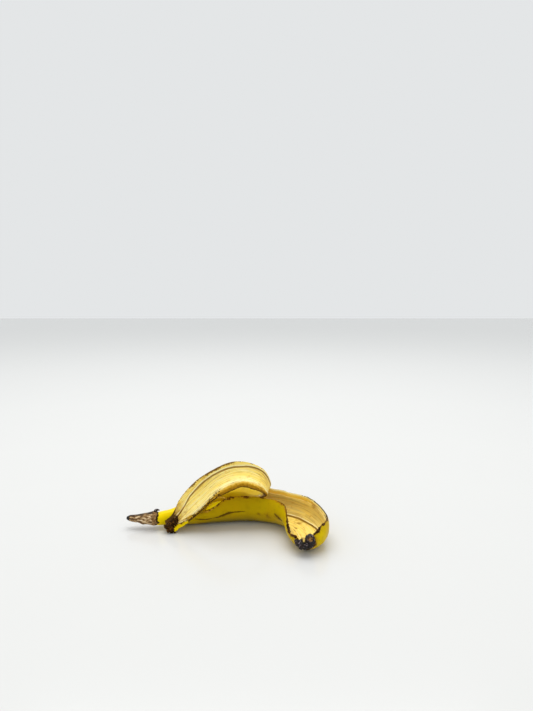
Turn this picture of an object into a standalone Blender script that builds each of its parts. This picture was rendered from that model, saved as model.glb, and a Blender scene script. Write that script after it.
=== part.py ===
"""Banana peel, emptied and dropped on its side: a trough of skin from the stem to the blossom end,
with one top strip folded back over it so that its end rests beside the neck.

Run it with: blender --background --python part.py
The layout below is in millimetres, +Z up, and the finished mesh is in metres.
"""

import math

import bpy
import numpy as np
from mathutils import Matrix, Vector

MM = 0.001

# Body: a tube bent in plan, whose centreline turns slowly at the neck and fast at the blossom end.
BODY_LENGTH = 195.0
BODY_START = (-72.0, -16.8)
START_HEADING = 17.2
TOTAL_TURN = 117.5
TURN_POWER = 1.72

# The body at stations along it: distance, half width, half height, height of the underside,
# and how far round from the bottom, in degrees, the skin reaches on the near and the far side.
BODY = (
    (0, 6.3, 6.3, 2.8, 150, 150),
    (14, 7.8, 7.8, 1.6, 120, 125),
    (28, 11.2, 11.2, 0.6, 100, 125),
    (42, 14.6, 14.6, 0.0, 100, 130),
    (58, 17.2, 17.2, -0.3, 113, 136),
    (75, 18.5, 18.4, -0.4, 125, 139),
    (95, 18.7, 18.5, -0.4, 127, 138),
    (106, 18.7, 18.6, -0.4, 127, 114),
    (116, 18.8, 18.7, -0.4, 128, 109),
    (130, 19.0, 19.0, -0.4, 128, 106),
    (144, 19.4, 18.8, -0.3, 127, 101),
    (157, 19.9, 18.0, -0.2, 118, 98),
    (169, 20.2, 17.2, 0.0, 109, 104),
    (180, 18.2, 15.6, 0.3, 103, 116),
    (189, 13.4, 11.8, 1.6, 104, 126),
    (195, 7.5, 7.5, 4.4, 120, 138),
)
SKIN = 3.0
RIM_SKIN = 1.5
RIM_BEVEL = 0.93
TEAR_START = 15.0
TORN_WAVE = 1.6

# Strip: the distances along the body where it is still seated, then where its near and its far
# edge pass from the fold to the free end.
STRIP_ATTACHED = (16.0, 28.0, 40.0, 52.0, 64.0, 77.0, 89.0)
STRIP_NEAR = (
    (26.0, -12.6, 31.0),
    (30.6, -13.8, 34.2),
    (28.9, -16.8, 38.0),
    (23.4, -18.7, 41.8),
    (16.7, -20.1, 45.3),
    (6.2, -20.0, 46.5),
    (-13.8, -24.8, 37.3),
    (-31.2, -27.6, 24.1),
    (-44.5, -29.3, 11.8),
    (-55.0, -29.8, 2.8),
    (-62.5, -28.5, 1.8),
)
STRIP_FAR = (
    (29.5, 11.2, 30.8),
    (35.4, 7.6, 33.2),
    (34.2, 4.0, 41.2),
    (27.8, 1.0, 50.6),
    (18.0, -2.0, 57.5),
    (0.7, -4.2, 61.0),
    (-24.4, -9.1, 54.6),
    (-42.5, -9.0, 40.0),
    (-52.0, -15.0, 26.5),
    (-58.3, -20.5, 14.0),
    (-65.0, -21.5, 8.0),
)
STRIP_SKIN = 2.7

# Along the strip, by distance out of 230: how far the skin reaches past the white lining at its
# torn near edge, and how high it bows across.
STRIP_STATIONS = 230.0
STRIP_BEVEL = (
    (0.0, 0.9),
    (92.0, 0.9),
    (98.0, 1.2),
    (110.0, 5.2),
    (140.0, 5.4),
    (165.0, 3.2),
    (200.0, 1.6),
    (215.0, 0.8),
    (230.0, 0.8),
)
STRIP_SAG = (
    (0.0, 3.0),
    (20.0, 5.5),
    (60.0, 6.2),
    (75.0, 4.0),
    (85.0, 0.8),
    (92.0, 0.6),
    (104.0, 2.4),
    (130.0, 4.0),
    (170.0, 4.2),
    (205.0, 3.2),
    (230.0, 1.6),
)
STRIP_SEAT = 0.7

# Stem: the dry stalk behind the neck, as distance, height, half width and half height.
STALK = (
    (-103.4, -17.4, 9.8, 1.3, 1.2),
    (-101.6, -17.4, 9.8, 2.2, 2.2),
    (-96.0, -17.7, 9.6, 3.7, 3.4),
    (-88.0, -18.1, 9.7, 5.2, 4.8),
    (-80.0, -18.3, 9.9, 6.3, 5.9),
    (-76.6, -18.0, 9.8, 6.9, 6.5),
    (-74.6, -17.6, 9.5, 6.3, 6.2),
)
NECK_END = 27.0

# Blossom end and the strip's bruised end: lumps, as centre and half sizes along X, Y and Z.
BLOSSOM = ((64.8, -71.2, 9.4), (8.4, 5.2, 5.6))
STUB = ((68.3, -71.7, 14.0), (4.1, 3.9, 4.3))
BRUISED_END = ((-57.2, -26.8, 6.2), (7.8, 4.6, 6.8))
HOOK = ((-75.4, -18.0, 17.2), (2.8, 1.3, 1.5))


def blend(stations, at):
    """Smooth curve through stations (distance, values...), as one row of values for each distance."""
    stations = np.asarray(stations, float)
    along, values = stations[:, 0], stations[:, 1:]
    slope = np.gradient(values, along, axis=0)
    at = np.clip(at, along[0], along[-1])
    low = np.clip(np.searchsorted(along, at, side="right") - 1, 0, len(along) - 2)
    span = (along[low + 1] - along[low])[:, None]
    t = (at - along[low])[:, None] / span
    ends = (2 * t**3 - 3 * t**2 + 1) * values[low] + (3 * t**2 - 2 * t**3) * values[low + 1]
    slopes = (t**3 - 2 * t**2 + t) * slope[low] + (t**3 - t**2) * slope[low + 1]
    return ends + slopes * span


def centreline(at):
    """Plan position and heading of the body's centreline at each distance along it."""
    along = np.linspace(0, BODY_LENGTH, 1200)
    turned = (1 - np.cos(math.pi * (along / BODY_LENGTH) ** TURN_POWER)) / 2
    heading = np.radians(START_HEADING - TOTAL_TURN * turned)
    step = np.diff(along)
    x = BODY_START[0] + np.append(0, np.cumsum((np.cos(heading[1:]) + np.cos(heading[:-1])) / 2 * step))
    y = BODY_START[1] + np.append(0, np.cumsum((np.sin(heading[1:]) + np.sin(heading[:-1])) / 2 * step))
    return np.interp(at, along, x), np.interp(at, along, y), np.interp(at, along, heading)


def body_points(at, round_from_bottom, inset):
    """Points of the body's skin: a grid with one row for each distance, at angles from the bottom."""
    x, y, heading = (value[:, None] for value in centreline(at))
    wide, high, base = (value[:, None] for value in blend(BODY, at).T[:3])
    angle = np.radians(round_from_bottom)
    ridge = 0.25 * np.cos(5 * angle + 0.6)
    aside = (wide + ridge - inset) * np.sin(angle)
    z = base + high - (high + ridge - inset) * np.cos(angle)
    return np.stack((x - aside * np.sin(heading), y + aside * np.cos(heading), z), axis=-1)


def reach(at):
    """Angles from the bottom to the near and the far torn edge, with the unevenness of the tear."""
    near, far = blend(BODY, at).T[3:]
    wave = np.sin(at / 3.7) + 0.6 * np.sin(at / 1.9 + 1.0)
    torn = np.clip((at - 100) / 15, 0, 1)
    return near + 0.4 * wave, far + TORN_WAVE * torn * np.sin(at / 4.3 + 0.5)


def skin_sheet(name, outside, inside, helpers):
    """Closed solid between two grids of points: the skin's outside and its inside."""
    rows, columns = outside.shape[:2]
    index = np.arange(rows * columns).reshape(rows, columns)
    inner = index + rows * columns
    quads = [
        np.stack((index[:-1, :-1], index[1:, :-1], index[1:, 1:], index[:-1, 1:]), -1).reshape(-1, 4),
        np.stack((inner[:-1, :-1], inner[:-1, 1:], inner[1:, 1:], inner[1:, :-1]), -1).reshape(-1, 4),
    ]
    for edge, back in ((index[0], inner[0]), (index[:, -1], inner[:, -1])):
        quads.append(np.stack((edge[:-1], edge[1:], back[1:], back[:-1]), -1))
    for edge, back in ((index[-1], inner[-1]), (index[:, 0], inner[:, 0])):
        quads.append(np.stack((edge[1:], edge[:-1], back[:-1], back[1:]), -1))
    points = np.concatenate((outside.reshape(-1, 3), inside.reshape(-1, 3)))
    return add_solid(name, points, np.concatenate(quads).tolist(), helpers)


def tube(name, rings, helpers):
    """Closed solid through a stack of rings, with a flat cap on the first and the last."""
    rows, columns = rings.shape[:2]
    index = np.arange(rows * columns).reshape(rows, columns)
    after = np.roll(index, -1, axis=1)
    quads = np.stack((index[:-1], index[1:], after[1:], after[:-1]), -1).reshape(-1, 4).tolist()
    return add_solid(name, rings.reshape(-1, 3), quads + [index[0].tolist(), index[-1, ::-1].tolist()], helpers)


def lump(name, centre, half_sizes, roughness, helpers):
    """Closed knobbly lump: a ball stretched to its half sizes, with bumps that run over it."""
    rise = np.linspace(0.16, math.pi - 0.16, 9)[:, None]
    turn = np.linspace(0, 2 * math.pi, 16, endpoint=False)[None, :]
    bumps = 1 + roughness * (np.sin(3 * turn + 2 * rise) + np.sin(5 * turn - 3 * rise + 1.0))
    ball = np.stack((np.sin(rise) * np.cos(turn), np.sin(rise) * np.sin(turn), np.cos(rise) + 0 * turn), -1)
    return tube(name, np.array(centre) + ball * np.array(half_sizes) * bumps[..., None], helpers)


def add_solid(name, points, faces, collection):
    """Mesh object from points in millimetres, kept above the ground and turned to face outwards."""
    points = np.asarray(points, float).copy()
    points[:, 2] = np.maximum(points[:, 2], 0)
    mesh = bpy.data.meshes.new(name)
    mesh.from_pydata((points * MM).tolist(), [], faces)
    solid = bpy.data.objects.new(name, mesh)
    collection.objects.link(solid)
    corners = np.array([[points[face[0]], points[face[i]], points[face[i + 1]]]
                        for face in faces for i in range(1, len(face) - 1)])
    if np.linalg.det(corners).sum() < 0:
        mesh.flip_normals()
    return solid


for leftover in list(bpy.data.objects):
    bpy.data.objects.remove(leftover, do_unlink=True)

parts = bpy.data.collections.new("banana_peel")
helpers = bpy.data.collections.new("peel_pieces")
for collection in (parts, helpers):
    bpy.context.scene.collection.children.link(collection)
helpers.hide_render = True

# Trough: the skin that stayed whole, open on top along two torn edges and thinner at them.
at = np.concatenate((np.linspace(TEAR_START, 100, 24), np.linspace(103, 188, 27), (190.5, 193.0, 195.0)))
near, far = reach(at)
across = np.linspace(0, 1, 19)
angles = np.where(across < 0.5, (2 * across - 1) * near[:, None], (2 * across - 1) * far[:, None])
sunk = 0.5 * np.clip((TEAR_START + 5 - at) / 5, 0, 1)[:, None]
from_rim = np.abs(2 * across - 1)[None, :]
thick = SKIN + (RIM_SKIN - SKIN) * np.clip((from_rim - 0.8) / 0.2, 0, 1) ** 2
thick = thick * np.clip(blend(BODY, at)[:, :1] / 12, 0.45, 1)
bevel = np.where(from_rim > 0.99, RIM_BEVEL, 1.0)
outside = body_points(at, angles, sunk)
inside = body_points(at, angles * bevel, sunk + thick)
peel = skin_sheet("peel", outside, inside, parts)

# Strip: seated between the trough's edges as far as the fold, then arching back to the ground.
seat = np.array(STRIP_ATTACHED)
near, far = reach(seat)
near_edge = body_points(seat, -near[:, None] + 4, np.full((len(seat), 1), STRIP_SEAT))[:, 0]
far_edge = body_points(seat, far[:, None] - 4, np.full((len(seat), 1), STRIP_SEAT))[:, 0]
near_edge = np.concatenate((near_edge, STRIP_NEAR))
far_edge = np.concatenate((far_edge, STRIP_FAR))
middle = (near_edge + far_edge) / 2
along = np.append(0, np.cumsum(np.linalg.norm(np.diff(middle, axis=0), axis=1)))
steps = np.concatenate((np.linspace(0, along[6], 20), np.linspace(along[6], along[9], 14)[1:],
                        np.linspace(along[9], along[-1], 30)[1:]))
near_edge = blend(np.column_stack((along, near_edge)), steps)
far_edge = blend(np.column_stack((along, far_edge)), steps)
chord = far_edge - near_edge
width = np.linalg.norm(chord, axis=1, keepdims=True)
path = np.gradient((near_edge + far_edge) / 2, steps, axis=0)
skinward = np.cross(path, chord)
skinward /= np.linalg.norm(skinward, axis=1, keepdims=True)
station = steps * STRIP_STATIONS / steps[-1]
sag = blend(STRIP_SAG, station)
bevel = blend(STRIP_BEVEL, station)[:, None]
across = np.linspace(-1, 1, 11)[None, :, None]
chord_way = (chord / width)[:, None]
radius = ((width / 2) ** 2 + sag**2) / (2 * sag)
bow = np.sqrt(radius[:, None] ** 2 - (across * width[:, None] / 2) ** 2) - (radius - sag)[:, None]
middle = (near_edge + far_edge)[:, None] / 2 + across * chord[:, None] / 2
outside = middle + bow * skinward[:, None]
depth = STRIP_SKIN * (1 - 0.3 * np.abs(across) ** 4)
inside = outside - depth * skinward[:, None]
lip = outside[:, :1] - bevel * chord_way
inside = np.concatenate((lip - 0.9 * skinward[:, None], inside), axis=1)
outside = np.concatenate((lip, outside), axis=1)
strip = skin_sheet("strip", outside, inside, helpers)

# Stem and neck: the dry stalk with its collar, running into the solid neck inside the skin.
neck_at = np.array((0.0, 5.0, 10.0, 14.0, 18.0, 22.0, NECK_END))
x, y, heading = centreline(neck_at)
wide, high, base = blend(BODY, neck_at).T[:3]
inside_skin = np.clip((neck_at - 15) / 4, 0, 1) * 1.3
inside_skin[-1] += 2.5
neck = np.column_stack((x, y, base + high, wide - inside_skin, high - inside_skin))
core = np.concatenate((STALK, neck))
heading = np.append(np.zeros(len(STALK)), heading)[:, None]
turn = np.linspace(0, 2 * math.pi, 24, endpoint=False)[None, :]
knobbly = 1 + 0.03 * np.sin(3 * turn + core[:, :1] / 5) * (core[:, :1] < -74)
aside = core[:, 3:4] * np.sin(turn) * knobbly
rings = np.stack((core[:, 0:1] - aside * np.sin(heading), core[:, 1:2] + aside * np.cos(heading),
                  core[:, 2:3] - core[:, 4:5] * np.cos(turn) * knobbly), -1)
stem = tube("stem", rings, helpers)

# Lumps: the dried blossom end with its stub, the strip's bruised end, and a scrap on the collar.
lumps = [
    lump("blossom_end", *BLOSSOM, 0.07, helpers),
    lump("blossom_stub", *STUB, 0.04, helpers),
    lump("bruised_end", *BRUISED_END, 0.07, helpers),
    lump("collar_scrap", *HOOK, 0.05, helpers),
]

for piece in helpers.objects:
    piece.display_type = "WIRE"
join = peel.modifiers.new("Join the pieces", "BOOLEAN")
join.operation = "UNION"
join.solver = "EXACT"
join.operand_type = "COLLECTION"
join.collection = helpers

skin = bpy.data.materials.new("peel_skin")
skin.use_nodes = True
shader = skin.node_tree.nodes["Principled BSDF"]
shader.inputs["Base Color"].default_value = (0.62, 0.47, 0.03, 1)
shader.inputs["Roughness"].default_value = 0.45
shader.inputs["Metallic"].default_value = 0.0
peel.data.materials.append(skin)

# The origin is under the middle of the object: every piece moves there together.
bpy.context.view_layer.update()
corners = np.array([tuple(Vector(corner)) for corner in peel.evaluated_get(
    bpy.context.evaluated_depsgraph_get()).bound_box])
low, high = corners.min(axis=0), corners.max(axis=0)
shift = Vector((-(low[0] + high[0]) / 2, -(low[1] + high[1]) / 2, -low[2]))
for piece in [peel, strip, stem] + lumps:
    piece.data.transform(Matrix.Translation(shift))
print("shift in millimetres", [round(value / MM, 2) for value in shift])
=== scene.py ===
"""Emptied banana peel lying on a table.

A trough of skin runs from the dry stem to the blossom end. One strip, torn loose along two slits,
folds back over it and rests its bruised end on the table. Lengths are in millimetres and angles in
degrees, in the body's own layout with +Z up; a finished mesh is in metres in the part's frame.
"""
import math

import bpy
import numpy as np
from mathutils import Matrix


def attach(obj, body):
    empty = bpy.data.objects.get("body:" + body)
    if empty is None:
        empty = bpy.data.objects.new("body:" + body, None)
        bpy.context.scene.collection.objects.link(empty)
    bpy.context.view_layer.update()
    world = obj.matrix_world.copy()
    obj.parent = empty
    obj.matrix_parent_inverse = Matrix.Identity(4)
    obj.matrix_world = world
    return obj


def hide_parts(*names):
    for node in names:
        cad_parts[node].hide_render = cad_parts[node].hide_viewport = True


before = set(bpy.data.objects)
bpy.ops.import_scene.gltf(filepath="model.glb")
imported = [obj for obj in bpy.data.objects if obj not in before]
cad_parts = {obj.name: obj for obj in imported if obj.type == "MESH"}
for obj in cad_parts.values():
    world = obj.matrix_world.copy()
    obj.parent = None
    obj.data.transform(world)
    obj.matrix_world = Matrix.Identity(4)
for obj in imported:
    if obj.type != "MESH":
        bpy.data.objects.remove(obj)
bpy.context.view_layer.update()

# ------------------------------------------------------------------------------ The body's skin
# Banana skin about 3 mm thick: a waxy yellow rind on a soft cream lining. From the neck on it is
# a trough, open on top along two torn edges, and it closes round the dry stem at the other end.
# It is one grown piece, so every patch of it below is sewn to its neighbours.
MM = 0.001
# Place of the layout's origin in the part's frame.
ORIGIN = np.array((7.54, 27.42, 0.0))
BODY_LENGTH = 195.0
BODY_START = (-72.0, -16.8)
START_HEADING = 17.2
TOTAL_TURN = 117.5
TURN_POWER = 1.72
SKIN = 3.0
RIM_SKIN = 1.5
# Distance along the body at which the two tears begin.
SLIT = 16.0
RIDGES = 5
RIDGE_HEIGHT = 0.5
# Random heights each way before unevenness repeats itself.
CELLS = 89

# Distance along the body, half width, half height, height of the underside, and how far round from
# the bottom the skin reaches on the near and on the far side.
BODY = (
    (0, 6.3, 6.3, 2.8, 150, 150),
    (14, 7.8, 7.8, 1.6, 120, 125),
    (28, 11.2, 11.2, 0.6, 100, 125),
    (42, 14.6, 14.6, 0.0, 100, 130),
    (50, 16.1, 16.1, -0.2, 107, 133),
    (58, 17.2, 17.2, -0.3, 119, 136),
    (66, 18.0, 18.0, -0.4, 126, 138),
    (75, 18.5, 18.4, -0.4, 128, 139),
    (95, 18.7, 18.5, -0.4, 127, 138),
    (106, 18.7, 18.6, -0.4, 125, 118),
    (116, 18.8, 18.7, -0.4, 124, 113.5),
    (130, 19.0, 19.0, -0.4, 124, 112),
    (144, 19.4, 18.8, -0.3, 123, 113),
    (157, 19.9, 18.0, -0.2, 119, 112),
    (164, 20.2, 17.6, -0.1, 117, 105),
    (171, 20.2, 17.1, 0.0, 114, 109),
    (181, 18.6, 15.6, 0.3, 107, 124),
    (189, 14.2, 12.0, 1.4, 96, 131),
    (195, 7.5, 7.5, 4.4, 110, 138),
)
# Share of the way round by which the lining stops short of the rind, on the near and the far side.
TORN_BACK = (
    (16, 0.0, 0.0),
    (30, 0.03, 0.04),
    (95, 0.045, 0.05),
    (110, 0.05, 0.045),
    (150, 0.05, 0.045),
    (168, 0.07, 0.06),
    (184, 0.10, 0.06),
    (195, 0.05, 0.04),
)
# Angles of the lining's grooves, where the strings lay.
GROOVES = (-93, -60, -27, 8, 84)
# Distance along the body and angle of the crease between the floor's lining and the far wall's.
CREASE = ((118, 28), (127, 30.3), (134, 32.4), (142, 33.8), (150, 36.5), (160, 41.6), (170, 48))


def ease(value, start=0, full=1):
    """From 0 where the value is `start` to 1 where it is `full`, and level at both: 3p squared less
    2p cubed, where p is the share of the way from one to the other, held between 0 and 1."""
    part = np.clip((value - start) / (full - start), 0, 1)
    return part * part * (3 - 2 * part)


def between(value, start, full, last, end):
    """Eases up from 0 at `start` to 1 at `full`, and down again from 1 at `last` to 0 at `end`."""
    return ease(value, start, full) * ease(value, end, last)


def bell(off, half):
    """Bell curve: e to the minus square of the distance in half widths."""
    return np.exp(-((off / half) ** 2))


def blend(stations, at):
    """Smooth curve through stations (distance, values...): a cubic between each pair, whose slope at
    a station is the mean slope round it. Gives one row of values for each distance."""
    stations = np.asarray(stations, float)
    along, values = stations[:, 0], stations[:, 1:]
    slope = np.gradient(values, along, axis=0)
    at = np.clip(at, along[0], along[-1])
    low = np.clip(np.searchsorted(along, at, side="right") - 1, 0, len(along) - 2)
    span = (along[low + 1] - along[low])[:, None]
    t = (at - along[low])[:, None] / span
    ends = (2 * t**3 - 3 * t**2 + 1) * values[low] + (3 * t**2 - 2 * t**3) * values[low + 1]
    slopes = (t**3 - 2 * t**2 + t) * slope[low] + (t**3 - t**2) * slope[low + 1]
    return ends + slopes * span


def uneven(u, v, seed, cells=CELLS):
    """Unevenness from -1 to 1: seeded random heights at whole numbers of u and v, eased between
    them. It repeats every `cells` in v, so v can run round a ring with no seam."""
    heights = np.random.default_rng(seed).uniform(-1, 1, (CELLS, cells))
    u, v = np.broadcast_arrays(np.asarray(u, float), np.asarray(v, float))
    low_u, low_v = np.floor(u).astype(int), np.floor(v).astype(int)
    part_u, part_v = ease(u - low_u), ease(v - low_v)
    this_u, next_u = low_u % CELLS, (low_u + 1) % CELLS
    this_v, next_v = low_v % cells, (low_v + 1) % cells
    low = heights[this_u, this_v] * (1 - part_v) + heights[this_u, next_v] * part_v
    high = heights[next_u, this_v] * (1 - part_v) + heights[next_u, next_v] * part_v
    return low * (1 - part_u) + high * part_u


def centreline(at):
    """Plan position and heading of the body's centreline: the heading turns by half a cosine wave of
    a power of the distance, and the position is the running sum of the heading's steps."""
    along = np.linspace(0, BODY_LENGTH, 1200)
    turned = (1 - np.cos(math.pi * (along / BODY_LENGTH) ** TURN_POWER)) / 2
    heading = np.radians(START_HEADING - TOTAL_TURN * turned)
    place = []
    for start, rate in zip(BODY_START, (np.cos(heading), np.sin(heading))):
        run = np.append(0, np.cumsum((rate[1:] + rate[:-1]) / 2 * np.diff(along)))
        place.append(np.interp(at, along, start + run))
    return *place, np.interp(at, along, heading)


def rind_relief(at, angle):
    """How far the rind stands out of its oval: five blunt ridges along the fruit, each the cube of a
    cosine wave round it, and shallow dents."""
    lengthwise = at[:, None]
    ridge = RIDGE_HEIGHT * ((1 + np.cos(RIDGES * np.radians(angle) + 0.6)) / 2) ** 3 - 0.12
    wide_dents = 0.16 * uneven(lengthwise / 13, angle / 40, 1, 9)
    small_dents = 0.05 * uneven(lengthwise / 5, angle / 15, 2, 24)
    return ridge * ease(lengthwise, -4, 26) + (wide_dents + small_dents)


def body_points(at, angle, inset=0.0):
    """Points on or under the rind. At each distance the section is an ellipse, plus the rind's relief
    and less the inset. Angles run round from the bottom, and the near side is negative."""
    x, y, heading = (value[:, None] for value in centreline(at))
    wide, high, base = (value[:, None] for value in blend(BODY, at).T[:3])
    turn = np.radians(angle)
    out = rind_relief(at, angle) - inset
    aside = (wide + out) * np.sin(turn)
    z = base + high - (high + out) * np.cos(turn)
    return np.stack((x - aside * np.sin(heading), y + aside * np.cos(heading), np.maximum(z, 0)), axis=-1)


def torn(at, lane, size):
    """Raggedness of a torn edge: unevenness of two lengths, read along a lane of its own. It starts
    at the slit."""
    rough = 0.6 * uneven(at / 6.5, lane, 11) + 0.4 * uneven(at / 2.4, lane, 12)
    return size * ease(at, SLIT, SLIT + 8) * rough


def reach(at):
    """Angles from the bottom to the near and the far torn edge, with their raggedness."""
    wide, near, far = blend(BODY, at).T[[0, 3, 4]]
    degrees_per_mm = 180 / math.pi / np.maximum(wide, 8)
    wave = np.sin(at / 3.7) + 0.6 * np.sin(at / 1.9 + 1.0)
    near = near + 0.4 * wave * ease(at, SLIT, SLIT + 8) + degrees_per_mm * torn(at, 0.5, 0.6)
    scallops = 1.6 * np.clip((at - 100) / 15, 0, 1) * np.sin(at / 4.3 + 0.5)
    rougher = 0.5 + 0.9 * ease(at, 96, 108) + 0.5 * ease(at, 158, 166)
    return near, far + scallops + degrees_per_mm * torn(at, 7.5, 1) * rougher


def packed(count, power):
    """Positions from -1 to 1 that lie closer together towards both ends."""
    even = np.linspace(-1, 1, count)
    return np.sign(even) * (1 - (1 - np.abs(even)) ** power)


def sheet_thickness(at, to_edge):
    """Thickness of the skin: full in the middle, half at a torn edge, and less where the body is slim.
    The second value runs from 0 in the middle of the sheet to 1 at its edges."""
    slim = np.clip(blend(BODY, at)[:, :1] / 12, 0.45, 1)
    thinned = np.clip((to_edge - 0.8) / 0.2, 0, 1) ** 2
    return (SKIN + (RIM_SKIN - SKIN) * thinned) * slim


def degree_length(at, inset=0.0):
    """Millimetres round the body in one degree, on the rind or at an inset under it."""
    return (blend(BODY, at)[:, :1] - inset) * math.pi / 180


def crease_distance(at, angle):
    """Millimetres up the far wall from the crease, whose angle is interpolated along the body."""
    place = np.interp(at, *np.array(CREASE).T)[:, None]
    return (angle - place - 1.5 * uneven(at[:, None] / 9, 1.5, 24)) * degree_length(at, SKIN)


def lining_relief(at, angle):
    """How far the lining stands proud: fibres along it, five grooves where the strings lay, and a
    crease along which the far wall's lining overlaps the floor's."""
    lengthwise = at[:, None]
    fibres = 0.10 * uneven(lengthwise / 34, angle / 4, 21, 90)
    fibres = fibres + 0.07 * uneven(lengthwise / 9, angle / 9, 22, 40)
    wander = 2.5 * uneven(lengthwise / 22, 3.5, 23)
    grooves = sum(bell((angle - place - wander) * degree_length(at, SKIN), 0.55) for place in GROOVES)
    away = crease_distance(at, angle)
    overlap = 0.9 * bell(away - 0.9, 0.8) - 0.55 * bell(away + 0.35, 0.5)
    overlap = overlap * between(lengthwise, 118, 126, 168, 176)
    return (fibres - 0.28 * grooves + overlap) * ease(lengthwise, SLIT, SLIT + 10)


rows = np.concatenate((np.linspace(SLIT, 30, 16), np.linspace(31, 180, 150), np.linspace(180.75, 195, 20)))
columns = packed(119, 1.3)


def round_bottom(near, far):
    """Angles of the body's columns, round the bottom from the near to the far torn edge."""
    return np.where(columns < 0, columns * near, columns * far)


near, far = (edge[:, None] for edge in reach(rows))
angles = round_bottom(near, far)
near_short, far_short = blend(TORN_BACK, rows).T[:, :, None]
lining_angles = angles * (1 - np.where(columns < 0, near_short, far_short))
thick = sheet_thickness(rows, np.abs(columns))
rind = body_points(rows, angles)
lining = body_points(rows, lining_angles, thick + lining_relief(rows, lining_angles))

# ------------------------------------------------------------------------------ The torn strip
# The same skin, between two tears that start at the neck. It lies in place over the first half of
# the trough, folds sharply back, and arches with its lining up to the ground beside the neck. Its
# near edge is torn at a slant, so the rind reaches past the lining there.

# Distances along the body at which the strip still lies in place, and then points of its two edges
# from the fold to the bruised end.
STRIP_ATTACHED = (16.0, 28.0, 40.0, 52.0, 64.0, 77.0, 89.0)
STRIP_NEAR = (
    (26.0, -12.6, 29.4),
    (30.4, -13.8, 31.2),
    (30.2, -16.8, 35.4),
    (25.6, -18.7, 41.2),
    (18.0, -20.1, 45.4),
    (6.2, -20.0, 46.8),
    (-14.4, -25.0, 38.6),
    (-29.6, -28.4, 23.2),
    (-44.0, -28.8, 12.0),
    (-55.8, -27.0, 6.0),
    (-62.8, -27.4, 2.8),
)
STRIP_FAR = (
    (29.0, 11.2, 30.8),
    (34.0, 7.6, 33.2),
    (32.9, 4.0, 41.2),
    (27.8, 1.0, 50.6),
    (18.0, -2.0, 57.5),
    (1.4, -4.2, 60.8),
    (-22.4, -9.1, 53.0),
    (-40.8, -9.0, 39.2),
    (-52.0, -15.0, 26.5),
    (-58.3, -20.5, 14.0),
    (-65.0, -21.5, 8.0),
)
STRIP_SKIN = 2.7
# How deep under the rind and how many degrees past the tears its edges run while it lies in place.
STRIP_SEAT = 0.7
STRIP_OVERLAP = 4
# Stations along the strip, about a millimetre apart, run from 0 at the start of the tears to this
# number at the bruised end.
STRIP_STATIONS = 230.0
# Station, and how far the rind reaches past the lining at the near edge.
STRIP_BEVEL = (
    (0.0, 0.9), (92.0, 0.9), (98.0, 1.2), (110.0, 5.2), (140.0, 6.0), (160.0, 5.8),
    (170.0, 4.2), (182.0, 1.9), (200.0, 1.6), (212.0, 3.4), (221.0, 4.0), (230.0, 1.4),
)
# Station, and how far the strip bows out between its edges.
STRIP_SAG = (
    (0.0, 3.0), (20.0, 5.5), (60.0, 6.2), (75.0, 4.0), (85.0, 0.8), (92.0, 0.6),
    (104.0, 2.4), (130.0, 4.0), (170.0, 4.2), (205.0, 3.2), (230.0, 1.6),
)
# Station, and place of the main groove from -1 at the near edge to 1 at the far edge.
STRIP_GROOVE = (
    (0, 0.78), (112, 0.78), (124, 0.73), (138, 0.57), (156, 0.6), (168, 0.6),
    (190, 0.51), (197, 0.45), (206, 0.2), (214, 0.06), (230, 0.03),
)
# Place across and depth of the lesser grooves.
LESSER_GROOVES = ((-0.3, 0.2), (0.05, 0.14), (-0.6, 0.15), (0.3, 0.16))

seat = np.array(STRIP_ATTACHED)
seat_near, seat_far = blend(BODY, seat).T[3:, :, None]
near_edge = np.concatenate((body_points(seat, STRIP_OVERLAP - seat_near, STRIP_SEAT)[:, 0], STRIP_NEAR))
far_edge = np.concatenate((body_points(seat, seat_far - STRIP_OVERLAP, STRIP_SEAT)[:, 0], STRIP_FAR))
middle = (near_edge + far_edge) / 2
along = np.append(0, np.cumsum(np.linalg.norm(np.diff(middle, axis=0), axis=1)))
# The fold runs from where the strip leaves the trough to the third point past it, in closer rows.
fold_start, fold_end = along[len(seat) - 1], along[len(seat) + 2]
steps = np.concatenate((
    np.linspace(0, fold_start, 72),
    np.linspace(fold_start, fold_end, 36)[1:],
    np.linspace(fold_end, along[-1], 112)[1:],
))
station = steps * STRIP_STATIONS / steps[-1]
lengthwise = station[:, None]
body_at = np.interp(steps, along[:len(seat)], seat)
loose = ease(body_at, SLIT, SLIT + 26)[:, None]
near_edge = blend(np.column_stack((along, near_edge)), steps)
far_edge = blend(np.column_stack((along, far_edge)), steps)
chord = far_edge - near_edge
width = np.linalg.norm(chord, axis=1)[:, None]
half_width = width / 2
chord_way = (chord / width)[:, None]
skinward = np.cross(np.gradient((near_edge + far_edge) / 2, steps, axis=0), chord)
skinward = (skinward / np.linalg.norm(skinward, axis=1, keepdims=True))[:, None]
sag = blend(STRIP_SAG, station)
radius = (half_width**2 + sag**2) / (2 * sag)


def strip_points(across, depth):
    """Points of the loose strip at signed distances across from its middle: the middle of its chord,
    plus the distance along the chord, plus a circular bow towards the rind less the depth."""
    held = np.clip(across, -half_width, half_width)
    bow = np.sqrt(radius**2 - held**2) - (radius - sag)
    mid = (near_edge + far_edge)[:, None] / 2
    return mid + across[..., None] * chord_way + (bow - depth)[..., None] * skinward


def groove_distance(position):
    """Millimetres to the strip's main groove, which follows the far edge over the arch and drifts to
    the middle of the lining at the bruised end."""
    place = blend(STRIP_GROOVE, station) + 0.015 * uneven(lengthwise / 16, 0.5, 41)
    return (position - place) * half_width


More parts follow.
